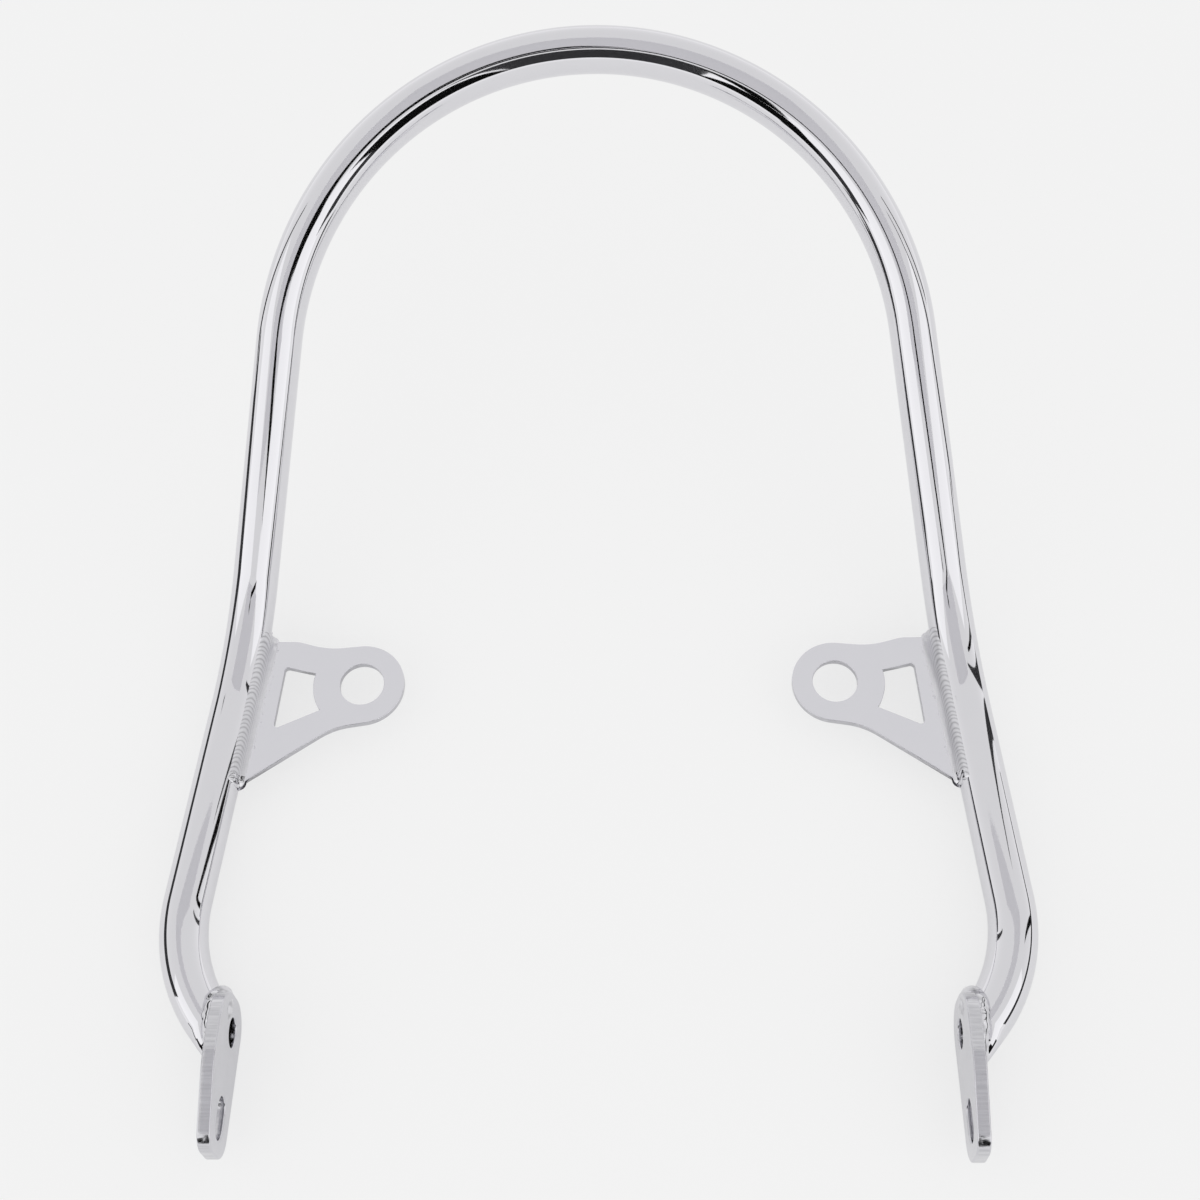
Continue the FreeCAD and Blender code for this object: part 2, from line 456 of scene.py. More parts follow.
def arc_about(centre: Vector, start: Vector, stop: Vector, turn: int) -> Arc:
    """Arc round a centre in the XY plane.

    Args:
        centre: The centre.
        start: Where it starts.
        stop: Where it stops.
        turn: +1 for anticlockwise seen from above, -1 for clockwise.

    Returns:
        The arc.
    """
    begin, end = start - centre, stop - centre
    swept = turn * (math.atan2(end.y, end.x) - math.atan2(begin.y, begin.x))
    return Arc(start, stop, centre, Vector((0.0, 0.0, turn)), swept % (2.0 * math.pi))


def arc_steps(angle: float, step_deg: float) -> int:
    """Number of steps that keeps each one under the given angle."""
    return max(2, math.ceil(abs(math.degrees(angle)) / step_deg))


def flat(x: float, y: float) -> Vector:
    """Point of the XY plane."""
    return Vector((x, y, 0.0))


class Outline:
    """A closed flat outline traced by extruding and spinning one vertex."""

    STEP_DEG = 4.0
    SAME = 1e-3
    FLAT = 0.5

    def __init__(self, start: Vector) -> None:
        """Begin at a point of the XY plane."""
        self.bm = bmesh.new()
        self.tip = self.bm.verts.new(start)

    def line(self, to: Vector) -> None:
        """Draw a straight side, if the tip isn't at its end already.

        Args:
            to: Where the side ends.
        """
        if (self.tip.co - to).length > self.SAME:
            made = bmesh.ops.extrude_vert_indiv(self.bm, verts=[self.tip])
            self.tip = made["verts"][0]
            self.tip.co = to

    def arc(self, arc: Arc) -> None:
        """Draw a straight side to an arc, then the arc.

        Args:
            arc: The arc.
        """
        self.line(arc.start)
        made = bmesh.ops.spin(
            self.bm, geom=[self.tip], cent=arc.centre, axis=arc.axis, angle=arc.angle,
            steps=arc_steps(arc.angle, self.STEP_DEG))
        self.tip = next(v for v in made["geom_last"] if isinstance(v, BMVert))

    def close(self) -> None:
        """Join the last point to the first."""
        self.bm.verts.ensure_lookup_table()
        first = self.bm.verts[0]
        if (self.tip.co - first.co).length > self.SAME:
            self.bm.edges.new((self.tip, first))
        bmesh.ops.remove_doubles(self.bm, verts=self.bm.verts, dist=self.SAME)

    def round_hole(self, centre: Vector, radius: float, segments: int) -> None:
        """Add a round hole."""
        bmesh.ops.create_circle(
            self.bm, cap_ends=False, segments=segments, radius=radius, matrix=Matrix.Translation(centre))

    def hole(self, other: "Outline") -> None:
        """Take another closed outline in as a hole."""
        merge(self.bm, other.bm)

    def plate(self, thickness: float, edge_round: float, rounds: int = 4) -> BMesh:
        """Thicken the outline into a plate with rounded edges.

        Args:
            thickness: Plate thickness, from z = 0 up.
            edge_round: Radius of the edges.
            rounds: Steps across each rounded edge.

        Returns:
            The plate; its rim faces have material index 1.
        """
        bm = self.bm
        bmesh.ops.translate(bm, vec=(0.0, 0.0, edge_round), verts=bm.verts)
        bmesh.ops.triangle_fill(bm, use_beauty=True, use_dissolve=False, edges=bm.edges[:])
        low = bm.faces[:]
        made = bmesh.ops.extrude_face_region(bm, geom=low, use_keep_orig=True)["geom"]
        lifted = [v for v in made if isinstance(v, BMVert)]
        bmesh.ops.translate(bm, vec=(0.0, 0.0, thickness - 2.0 * edge_round), verts=lifted)
        bmesh.ops.recalc_face_normals(bm, faces=bm.faces)
        high = [f for f in made if isinstance(f, BMFace)]
        for face in bm.faces:
            face.material_index = 0 if abs(face.normal.z) > self.FLAT else 1
        turn = math.pi / 2.0 / rounds
        inset = functools.partial(bmesh.ops.inset_region, bm, use_boundary=True, use_even_offset=True)
        for cap in (low, high):
            for k in range(rounds):
                inward = edge_round * (math.cos(k * turn) - math.cos((k + 1) * turn))
                outward = edge_round * (math.sin((k + 1) * turn) - math.sin(k * turn))
                inset(faces=cap, thickness=inward, depth=outward)
            inset(faces=cap, thickness=edge_round / 2.0, depth=0.0)
        return bm


def merge(into: BMesh, other: BMesh) -> None:
    """Add one mesh to another.

    Args:
        into: The mesh that grows.
        other: The mesh to add, freed here.
    """
    mesh = bpy.data.meshes.new("merged")
    other.to_mesh(mesh)
    other.free()
    into.from_mesh(mesh)
    bpy.data.meshes.remove(mesh)


def lead(made: Iterable[Any]) -> list[BMEdge]:
    """Open edges of what an operator made: the ring that leads a sweep."""
    return [e for e in made if isinstance(e, BMEdge) and len(e.link_faces) < 2]


def to_side(bm: BMesh, side: Side) -> BMesh:
    """Mirror a right-hand mesh for the left side, and point its faces outwards.

    Args:
        bm: The mesh, changed in place.
        side: The side it is for.

    Returns:
        The same mesh.
    """
    if side is Side.LEFT:
        bmesh.ops.scale(bm, vec=(-1.0, 1.0, 1.0), verts=bm.verts)
    bmesh.ops.recalc_face_normals(bm, faces=bm.faces)
    return bm


def new_object(bm: BMesh, name: str, finishes: Sequence[Finish]) -> bpy.types.Object:
    """Turn a mesh in metres into an object of the scene.

    Args:
        bm: The mesh, freed here.
        name: Name of the object.
        finishes: Finishes in the order of the faces' material indices.

    Returns:
        The new object.
    """
    mesh = bpy.data.meshes.new(name)
    bm.to_mesh(mesh)
    bm.free()
    for finish in finishes:
        mesh.materials.append(material_of(finish))
    made = bpy.data.objects.new(name, mesh)
    bpy.context.scene.collection.objects.link(made)
    return made


def finish_piece(bm: BMesh, name: str, finishes: Sequence[Finish], node: str) -> None:
    """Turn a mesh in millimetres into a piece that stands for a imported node.

    Args:
        bm: The finished mesh, freed here.
        name: Name of the piece.
        finishes: Finishes in the order of the faces' material indices.
        node: The node that the piece replaces.
    """
    bmesh.ops.scale(bm, vec=(MM, MM, MM), verts=bm.verts)
    for face in bm.faces:
        face.smooth = True
    piece = new_object(bm, name, finishes)
    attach(piece, BODY)
    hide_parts(node)
    LOG.info("%s: %d faces for %s", name, len(piece.data.polygons), node)


def stage_piece(bm: BMesh, name: str, finish: Finish) -> bpy.types.Object:
    """Turn a mesh in metres into a piece of the studio.

    Args:
        bm: The mesh, freed here.
        name: Its name.
        finish: Its finish.

    Returns:
        The new object.
    """
    piece = new_object(bm, name, [finish])
    return piece


def lump(place: Vector, size: float, seed: int) -> float:
    """Smooth noise from -1 to 1.

    Args:
        place: Where, in millimetres.
        size: Width of one lump.
        seed: Which bead, so that no two are alike.

    Returns:
        The noise.
    """
    return noise.noise(place / size + SEED_SHIFT * seed)


# The rail's sub-assemblies


@dataclass
class RailTube:
    """The bent tube: two front ends, two lower runs, two legs and the arch."""

    outer_radius: float = 9.42
    bore_radius: float = 7.5
    arch_radius: float = 132.0
    arch_rise_deg: float = 35.0
    arch_centre_along: float = 109.0
    bend: Pair = (148.5, 20.5)
    bend_radius: float = 97.0
    front: Pair = (163.0, -119.5)
    front_radius: float = 63.0
    end_inward: float = 21.5
    end_ahead: float = 25.3
    overrun_radii: float = 4.0
    segments: int = 96
    step_deg: float = 1.25
    trim_gap: float = 1e-4
    seam_gap: float = 0.01
    surface: Optional[BVHTree] = field(default=None, repr=False)

    @property
    def end(self) -> Vector:
        """Where the right end's centreline meets the tab's outer face."""
        return flat(self.front[0] - self.end_inward, self.front[1] - self.end_ahead)

    @property
    def overrun(self) -> float:
        """A length that reaches well past the tube's wall."""
        return self.overrun_radii * self.outer_radius

    def on_slope(self, x: float, along: float) -> Vector:
        """Point on the arch plane, by distance up its slope from the gusset bend."""
        rise = math.radians(self.arch_rise_deg)
        return Vector((x, self.bend[1] + along * math.cos(rise), along * math.sin(rise)))

    def centreline_x(self, y: float) -> float:
        """X of the right lower run's centreline, bends left out."""
        share = (self.bend[1] - y) / (self.bend[1] - self.front[1])
        return self.bend[0] + (self.front[0] - self.bend[0]) * share

    def right_half(self) -> tuple[Vector, list[Arc]]:
        """Centreline of the right half.

        Returns:
            The start, past the tab, and the arcs up to the crown.
        """
        front, corner = flat(*self.front), flat(*self.bend)
        reach = math.hypot(self.bend[0], self.arch_centre_along)
        lean = math.atan2(self.arch_centre_along, -self.bend[0]) - math.asin(self.arch_radius / reach)
        leg = math.sqrt(reach ** 2 - self.arch_radius ** 2)
        top = self.on_slope(self.bend[0] + leg * math.cos(lean), leg * math.sin(lean))
        centre = self.on_slope(0.0, self.arch_centre_along)
        crown = self.on_slope(0.0, self.arch_centre_along + self.arch_radius)
        out, up = top - centre, crown - centre
        arch = Arc(top, crown, centre, out.cross(up).normalized(), out.angle(up))
        start = self.end + (self.end - front).normalized() * self.overrun
        return start, [
            round_corner(self.end, front, corner, self.front_radius),
            round_corner(front, corner, top, self.bend_radius),
            arch,
        ]

    def sweep(self, radius: float, finish_index: int) -> BMesh:
        """Open-ended skin of the right half, trimmed at the tab's outer face.

        Args:
            radius: Radius of the skin about the centreline.
            finish_index: Material index of its faces.

        Returns:
            The skin.
        """
        start, arcs = self.right_half()
        bm = bmesh.new()
        along = (arcs[0].start - start).to_track_quat("Z", "Y").to_matrix().to_4x4()
        place = Matrix.Translation(start) @ along
        bmesh.ops.create_circle(bm, cap_ends=False, segments=self.segments, radius=radius, matrix=place)
        ring, at = bm.edges[:], start
        for arc in arcs:
            if (arc.start - at).length > Outline.SAME:
                made = bmesh.ops.extrude_edge_only(bm, edges=ring)["geom"]
                moved = [v for v in made if isinstance(v, BMVert)]
                bmesh.ops.translate(bm, vec=arc.start - at, verts=moved)
                ring = lead(made)
            made = bmesh.ops.spin(
                bm, geom=ring, cent=arc.centre, axis=arc.axis, angle=arc.angle,
                steps=arc_steps(arc.angle, self.step_deg))["geom_last"]
            ring, at = lead(made), arc.stop
        near_end = {v for v in bm.verts if v.co.y < self.front[1]}
        geom: list[Any] = list(near_end)
        geom += [e for e in bm.edges if near_end.issuperset(e.verts)]
        geom += [f for f in bm.faces if near_end.issuperset(f.verts)]
        bmesh.ops.bisect_plane(
            bm, geom=geom, dist=self.trim_gap, plane_co=self.end, plane_no=(1.0, 0.0, 0.0),
            clear_inner=True)
        for face in bm.faces:
            face.material_index = finish_index
        return bm

    def build(self) -> BMesh:
        """Make the outer skin and the bore, joined at the ends.

        Returns:
            The tube; its bore faces have material index 1.
        """
        bm = self.sweep(self.outer_radius, 0)
        self.surface = BVHTree.FromBMesh(bm)
        merge(bm, self.sweep(self.bore_radius, 1))
        rim = [e for e in bm.edges if e.is_boundary and e.verts[0].co.x > self.front[0] / 2.0]
        bmesh.ops.bridge_loops(bm, edges=rim)
        everything = bm.verts[:] + bm.edges[:] + bm.faces[:]
        bmesh.ops.mirror(
            bm, geom=everything, matrix=Matrix.Identity(4), merge_dist=self.seam_gap, axis="X")
        bmesh.ops.recalc_face_normals(bm, faces=bm.faces)
        return bm

    def dress(self) -> None:
        """Put the tube in the scene: chrome outside, raw steel in its bore."""
        finish_piece(self.build(), "bent_tube", [TUBE_CHROME, BORE_STEEL], "rail_tube")

    def run_height(self, y: float) -> float:
        """Height of the right run's centreline, which rises from the start of the gusset bend.

        Args:
            y: Place along the rail.

        Returns:
            The height.
        """
        bend = self.right_half()[1][1]
        radius = (bend.start - bend.centre).length
        return radius - math.sqrt(radius ** 2 - max(0.0, y - bend.start.y) ** 2)

    def inboard(self, y: float, z: float) -> Vector:
        """Point of the right run's inboard side.

        Args:
            y: Place along the rail.
            z: Height.

        Returns:
            The point on the tube's skin.
        """
        from_inside = Vector((self.bend[0] - self.overrun, y, z))
        return self.surface.ray_cast(from_inside, Vector((1.0, 0.0, 0.0)))[0]


@dataclass
class GussetPlate:
    """Drilled plate between a lower run and the tail bracket, with a lightening cut-out."""

    side: Side
    tube: RailTube
    thickness: float = 3.0
    hole_x: float = 98.5
    hole_radius: float = 9.25
    hole_segments: int = 96
    boss_radius: float = 17.75
    dip: Pair = (15.5, 16.3)
    dip_radius: float = 40.0
    shoulder: Pair = (28.5, 20.0)
    shoulder_radius: float = 14.0
    waist: Pair = (10.5, -19.6)
    waist_radius: float = 50.0
    tip_y: float = -51.85
    cut_arc_radius: float = 20.5
    cut_corner_radius: float = 1.5
    cut_rear: Pair = (6.5, 2.1)
    cut_front: Pair = (6.5, -6.9)
    cut_y: Pair = (8.2, -20.2)
    cut_inboard: Pair = (18.2, 18.7)
    edge_round: float = 0.25
    into_wall: float = 0.3
    corner_share: float = 0.49
    edge_points: int = 12

    @property
    def hole(self) -> Vector:
        """Centre of the bolt hole."""
        return flat(self.hole_x, 0.0)

    def tangent(self, point: Vector, turn: int) -> Vector:
        """Where the line from a point touches the round inner end.

        Args:
            point: A point outside the round end.
            turn: +1 for the round end's +Y side, -1 for the other.

        Returns:
            The point of touch.
        """
        away = point - self.hole
        angle = math.atan2(away.y, away.x) + turn * math.acos(self.boss_radius / away.length)
        return self.hole + flat(math.cos(angle), math.sin(angle)) * self.boss_radius

    def wall_edge(self, y: float) -> Vector:
        """Where the plate's outer edge ends, just inside the tube's wall."""
        skin = self.tube.inboard(y, -self.thickness / 2.0)
        return flat(skin.x + self.into_wall, y)

    def outline(self) -> Outline:
        """Trace the plate's outer edge, clockwise from the round end's rear.

        Returns:
            The closed outline.
        """
        dip, shoulder, waist = [self.hole + flat(*o) for o in (self.dip, self.shoulder, self.waist)]
        rear = flat(self.tube.centreline_x(shoulder.y), shoulder.y)
        tip = flat(self.tube.centreline_x(self.tip_y), self.tip_y)
        upper, lower = self.tangent(dip, 1), self.tangent(waist, -1)
        trace = Outline(upper)
        trace.arc(round_corner(upper, dip, shoulder, self.dip_radius, self.corner_share))
        trace.arc(round_corner(dip, shoulder, rear, self.shoulder_radius, self.corner_share))
        depth = self.tube.centreline_x(self.tip_y / 2.0) - self.wall_edge(self.tip_y / 2.0).x
        share = depth / (self.tube.centreline_x(waist.y) - waist.x)
        tip_on_wall = tip.lerp(waist, share)
        for k in range(self.edge_points):
            trace.line(self.wall_edge(rear.y + (tip_on_wall.y - rear.y) * k / self.edge_points))
        trace.line(tip_on_wall)
        trace.arc(round_corner(tip, waist, lower, self.waist_radius, self.corner_share))
        trace.arc(arc_about(self.hole, lower, upper, -1))
        trace.close()
        return trace

    def cut_out(self) -> Outline:
        """Trace the lightening cut-out, clockwise from its rear inner corner.

        Returns:
            The closed outline.
        """
        rear_in, front_in = self.hole + flat(*self.cut_rear), self.hole + flat(*self.cut_front)
        rear_out, front_out = [
            flat(self.tube.centreline_x(y) - inboard, y)
            for y, inboard in zip(self.cut_y, self.cut_inboard)]
        starts = []
        for inner, outer in ((rear_in, rear_out), (front_in, front_out)):
            meets = intersect_line_sphere(inner, outer, self.hole, self.cut_arc_radius)
            starts.append(next(p for p in meets if p is not None))
        trace = Outline(starts[0])
        trace.arc(round_corner(starts[0], rear_out, front_out, self.cut_corner_radius))
        trace.arc(round_corner(rear_out, front_out, starts[1], self.cut_corner_radius))
        trace.line(starts[1])
        trace.arc(arc_about(self.hole, starts[1], starts[0], 1))
        trace.close()
        return trace

    def build(self) -> BMesh:
        """Make the plate with its hole and cut-out.

        Returns:
            The plate; its cut edges have material index 1.
        """
        outline = self.outline()
        outline.round_hole(self.hole, self.hole_radius, self.hole_segments)
        outline.hole(self.cut_out())
        bm = outline.plate(self.thickness, self.edge_round)
        bmesh.ops.translate(bm, vec=(0.0, 0.0, -self.thickness / 2.0), verts=bm.verts)
        return to_side(bm, self.side)

    def dress(self) -> None:
        """Put the plate in the scene, with painted shade on its cut edges."""
        name = self.side.word + "_gusset"
        finish_piece(self.build(), name + "_plate", [PLATE_CHROME, GUSSET_EDGE_PAINTED_SHADE], name)


@dataclass
class EndTab:
    """Thick tab across a front end of the tube, with a round hole and a slot."""

    side: Side
    thickness: float = 5.0
    inner_x: float = 136.5
    hole_y: float = -144.0
    hole_radius: float = 5.5
    hole_segments: int = 72
    slot_pitch: float = 32.0
    slot_width: float = 11.0
    slot_length: float = 15.5
    rear_reach: float = 13.0
    shoulder_reach: float = 16.0
    nose_reach: float = 45.5
    low_z: float = -13.0
    high_z: float = 20.0
    nose_z: float = 10.0
    low_rear_radius: float = 12.5
    high_rear_radius: float = 14.0
    shoulder_radius: float = 30.0
    nose_radius: float = 9.0
    rise_deg: float = 6.0
    edge_round: float = 0.6
    corner_share: float = 0.49

    def outline(self) -> Outline:
        """Trace the tab's outer edge about its round hole: x is rearward, y is up.

        Returns:
            The closed outline.
        """
        corners = [
            (flat(self.rear_reach, self.low_z), self.low_rear_radius),
            (flat(-self.nose_reach, self.low_z), self.nose_radius),
            (flat(-self.nose_reach, self.nose_z), self.nose_radius),
            (flat(-self.shoulder_reach, self.high_z), self.shoulder_radius),
            (flat(self.rear_reach, self.high_z), self.high_rear_radius),
        ]
        arcs = []
        for k, (corner, radius) in enumerate(corners):
            before, after = corners[k - 1][0], corners[(k + 1) % len(corners)][0]
            arcs.append(round_corner(before, corner, after, radius, self.corner_share))
        trace = Outline(arcs[0].start)
        for arc in arcs:
            trace.arc(arc)
        trace.close()
        return trace

    def slot(self) -> Outline:
        """Trace the slot, its ends half round.

        Returns:
            The closed outline.
        """
        r = self.slot_width / 2.0
        rear = -self.slot_pitch + self.slot_length / 2.0 - r
        front = -self.slot_pitch - self.slot_length / 2.0 + r
        trace = Outline(flat(front, r))
        trace.arc(arc_about(flat(rear, 0.0), flat(rear, r), flat(rear, -r), -1))
        trace.arc(arc_about(flat(front, 0.0), flat(front, -r), flat(front, r), -1))
        trace.close()
        return trace

    def build(self) -> BMesh:
        """Make the tab, its nose turned up about the round hole.

        Returns:
            The tab; its cut edges have material index 1.
        """
        outline = self.outline()
        outline.round_hole(flat(0.0, 0.0), self.hole_radius, self.hole_segments)
        outline.hole(self.slot())
        bm = outline.plate(self.thickness, self.edge_round)
        upright = Matrix(((0.0, 0.0, 1.0), (1.0, 0.0, 0.0), (0.0, 1.0, 0.0))).to_4x4()
        rise = Matrix.Rotation(math.radians(-self.rise_deg), 4, "Z")
        place = Matrix.Translation((self.inner_x, self.hole_y, 0.0)) @ upright @ rise
        bmesh.ops.transform(bm, matrix=place, verts=bm.verts)
        return to_side(bm, self.side)

    def dress(self) -> None:
        """Put the tab in the scene, with its cut edges in their own finish."""
        name = self.side.word + "_end_tab"
        # The tab's faces carry the darker chrome, which is painted shade.
        finish_piece(self.build(), name + "_plate", [TAB_CHROME_PAINTED_SHADE, TAB_EDGE], name)


@dataclass(frozen=True)
class BeadSection:
    """Section of a bead: the corner it fills, its middle, half its face and the face's outward side."""

    corner: Vector
    middle: Vector
    half: Vector
    outward: Vector


@dataclass
class GussetWeld:
    """Rippled bead in the corner between a gusset plate and the tube."""

    side: Side
    level: Level
    tube: RailTube
    plate_thickness: float
    seed: int
    rear_y: float = 22.5
    front_y: float = -46.0
    plate_leg: Pair = (3.8, 2.7)
    tube_leg_deg: float = 47.0
    least_leg: float = 1.8
    most_climb: float = 0.95
    buried: float = 0.2
    end_length: float = 2.6
    bulge: float = 0.16
    lean: float = 0.2
    root: float = 0.5
    toe_fade: float = 4.0
    pitch: float = 1.9
    ripple: float = 0.07
    trail: float = 4.6
    apex: float = 0.45
    wander: float = 1.1
    wander_size: float = 5.0
    sharpness: float = 0.5
    faintest: float = 0.3
    faint_until: float = -0.7
    clear_after: float = 0.8
    rough: float = 0.02
    rear_rough: float = 0.5
    rear_reach: float = 5.0
    lump_size: float = 2.4
    fine_lump: Pair = (0.9, 0.4)
    broad_lump: Pair = (7.0, 0.08)
    stations: int = 400
    around: int = 64
    blob: float = 5.0
    spatter: int = 34
    spatter_along: Pair = (0.06, 0.8)
    spatter_out: Pair = (-0.2, 0.9)
    spatter_radius: Pair = (0.12, 0.3)
    spatter_height: float = 0.6
    rear_lumps: int = 9
    rear_along: Pair = (0.0, 3.0)
    rear_up: Pair = (0.0, 0.9)
    rear_behind: Pair = (0.0, 2.0)
    rear_radius: Pair = (0.5, 1.1)

    @property
    def length(self) -> float:
        """Length of the bead."""
        return self.rear_y - self.front_y

    @property
    def plate_face(self) -> float:
        """Height of the plate's face that the bead lies on."""
        return self.level.value * self.plate_thickness / 2.0

    def section(self, along: float) -> BeadSection:
        """Section of the bead.

        Args:
            along: Distance from the rear end.

        Returns:
            The section there.
        """
        y, up = self.rear_y - along, self.level.value
        corner = self.tube.inboard(y, self.plate_face)
        rear_leg, front_leg = self.plate_leg
        leg = rear_leg + (front_leg - rear_leg) * along / self.length
        radius, height = self.tube.outer_radius, self.tube.run_height(y)
        climb = up * height + radius * math.sin(math.radians(self.tube_leg_deg))
        climb = max(climb, self.plate_thickness / 2.0 + self.least_leg)
        climb = min(climb, up * height + self.most_climb * radius)
        on_tube = self.tube.inboard(y, up * climb) + Vector((self.buried, 0.0, 0.0))
        on_plate = corner - Vector((leg, 0.0, up * self.buried))
        half = (on_tube - on_plate) / 2.0
        outward = Vector((-half.z, 0.0, half.x)).normalized() * up
        return BeadSection(corner, (on_tube + on_plate) / 2.0, half, outward)

    def ridge(self, along: float, across: float) -> float:
        """How far a point is out of the grooves between ripples.

        Args:
            along: Distance from the rear end.
            across: From -1 at the plate to 1 on the tube.

        Returns:
            From 0 in a groove to 1 on a ripple.
        """
        drift = self.wander * noise.noise(Vector((along / self.wander_size, self.seed, 0.0)))
        phase = (along + drift - self.trail * (across - self.apex) ** 2) / self.pitch
        return abs(math.sin(math.pi * phase)) ** self.sharpness

    def clearness(self, across: float) -> float:
        """How clearly the ripples show: fully on the tube's half, faintly near the plate."""
        share = max(0.0, min(1.0, (across - self.faint_until) / self.clear_after))
        return self.faintest + (1.0 - self.faintest) * share

    def swell(self, place: Vector, along: float, across: float) -> float:
        """Height of ripples and lumps over the smooth bead.

        Args:
            place: Point on the smooth bead.
            along: Distance from the rear end.
            across: From -1 at the plate to 1 on the tube.

        Returns:
            Height in millimetres.
        """
        rough = self.rough + self.rear_rough * math.exp(-(along / self.rear_reach) ** 2)
        (fine_size, fine), (broad_size, broad) = self.fine_lump, self.broad_lump
        lumps = lump(place, self.lump_size, self.seed) + fine * lump(place, fine_size, self.seed)
        rippled = self.ripple * self.clearness(across) * self.ridge(along, across)
        return rippled + rough * lumps + broad * lump(place, broad_size, self.seed)

    def build(self) -> BMesh:
        """Stretch a sphere along the corner into a bead, ripple it and strew spatter beside it.

        Returns:
            The bead; its front blob has material index 1.
        """
        bm = bmesh.new()
        bmesh.ops.create_uvsphere(bm, u_segments=self.around, v_segments=self.stations, radius=1.0)
        groove_shade = bm.verts.layers.float.new(PAINTED_GROOVE_SHADE)
        sections: dict[int, BeadSection] = {}
        for vert in bm.verts:
            share = math.acos(max(-1.0, min(1.0, vert.co.z))) / math.pi
            along, around = self.length * share, math.atan2(vert.co.y, vert.co.x)
            station = round(share * self.stations)
            if station not in sections:
                sections[station] = self.section(along)
            cut, across = sections[station], math.sin(around)
            thin = 1.0 - across ** 2
            place = cut.middle + cut.half * across
            if math.cos(around) > 0.0:
                place += cut.outward * (cut.half.length * self.bulge * thin * (across + self.lean))
                place += cut.outward * (min(1.0, self.toe_fade * thin) * self.swell(place, along, across))
                # Painted shade: the grooves between ripples are marked for a darker colour.
                vert[groove_shade] = self.clearness(across) * (1.0 - self.ridge(along, across))
            else:
                place -= cut.outward * (cut.half.length * self.root * thin)
            short = max(0.0, 1.0 - min(along, self.length - along) / self.end_length)
            vert.co = cut.corner.lerp(place, math.sqrt(max(0.0, 1.0 - short ** 2)))
        for face in bm.faces:
            face.material_index = 1 if face.calc_center_median().y < self.front_y + self.blob else 0
        self.strew(bm)
        return to_side(bm, self.side)

    def strew(self, bm: BMesh) -> None:
        """Add fine spatter along the toe on the plate, and lumps on the tube at the rear end.

        Args:
            bm: The bead's mesh.
        """
        rng = random.Random(self.seed)
        squashed = Matrix.Diagonal((1.0, 1.0, self.spatter_height, 1.0))
        for _ in range(self.spatter):
            cut = self.section(self.length * rng.uniform(*self.spatter_along))
            toe = cut.middle.x - cut.half.x
            place = Vector((toe - rng.uniform(*self.spatter_out), cut.middle.y, self.plate_face))
            shape, radius = Matrix.Translation(place) @ squashed, rng.uniform(*self.spatter_radius)
            bmesh.ops.create_icosphere(bm, subdivisions=2, radius=radius, matrix=shape)
        for _ in range(self.rear_lumps):
            cut = self.section(rng.uniform(*self.rear_along))
            spot = cut.corner.lerp(cut.middle + cut.half, rng.uniform(*self.rear_up))
            spot.y += rng.uniform(*self.rear_behind)
            shape, radius = Matrix.Translation(spot), rng.uniform(*self.rear_radius)
            bmesh.ops.create_icosphere(bm, subdivisions=3, radius=radius, matrix=shape)

    def dress(self) -> None:
        """Put the bead in the scene."""
        node = "%s_gusset_weld_%s" % (self.side.word, self.level.word)
        finish_piece(self.build(), node + "_bead", [WELD_CHROME, BLOB_CHROME], node)


@dataclass
class TabWeld:
    """Lumpy bead round the tube's oblique end on an end tab, swollen above its rear."""

    side: Side
    seed: int
    centre: Vector
    half_length: float = 14.66
    half_height: float = 9.5
    radius: float = 2.9
    cap_swell: float = 2.8
    cap_deg: float = 55.0
    cap_spread_deg: float = 40.0
    broad_lump: Pair = (5.0, 0.5)
    fine_lump: Pair = (2.2, 0.35)
    groove_shade_gain: float = 1.6
    stations: int = 180
    around: int = 28
    ring: float = 4.0

    def build(self) -> BMesh:
        """Spin a ring, draw it out to the tube's oval end and make it lumpy.

        Returns:
            The bead.
        """
        bm = bmesh.new()
        place = Matrix.Translation((0.0, self.ring, 0.0))
        bmesh.ops.create_circle(bm, cap_ends=False, segments=self.around, radius=1.0, matrix=place)
        bmesh.ops.spin(
            bm, geom=bm.edges[:], cent=(0.0, 0.0, 0.0), axis=(1.0, 0.0, 0.0), angle=2.0 * math.pi,
            steps=self.stations, use_merge=True)
        groove_shade = bm.verts.layers.float.new(PAINTED_GROOVE_SHADE)
        (broad_size, broad), (fine_size, fine) = self.broad_lump, self.fine_lump
        for vert in bm.verts:
            about = math.atan2(vert.co.z, vert.co.y)
            section = Vector((vert.co.x, math.hypot(vert.co.y, vert.co.z) - self.ring))
            joint = Vector((0.0, self.half_length * math.cos(about), self.half_height * math.sin(about)))
            normal = Vector((0.0, math.cos(about) / self.half_length, math.sin(about) / self.half_height))
            outward = Vector((section.x, 0.0, 0.0)) + normal.normalized() * section.y
            cap = math.exp(-((math.degrees(about) - self.cap_deg) / self.cap_spread_deg) ** 2)
            smooth = self.centre + joint + outward * (self.radius + self.cap_swell * cap)
            # Painted shade: the bead's hollows, where the fine lumps dip, are marked for a darker colour.
            bump = lump(smooth, fine_size, self.seed)
            vert[groove_shade] = max(0.0, -self.groove_shade_gain * bump)
            vert.co = smooth + outward * (broad * lump(smooth, broad_size, self.seed) + fine * bump)
        return to_side(bm, self.side)

    def dress(self) -> None:
        """Put the bead in the scene."""
        node = self.side.word + "_tab_weld"
        finish_piece(self.build(), node + "_bead", [BLOB_CHROME], node)


# Studio


def toward(azimuth: float, elevation: float) -> Vector:
    """Direction by degrees from +Y towards +X, and degrees up."""
    az, el = math.radians(azimuth), math.radians(elevation)
    return Vector((math.sin(az) * math.cos(el), math.cos(az) * math.cos(el), math.sin(el)))


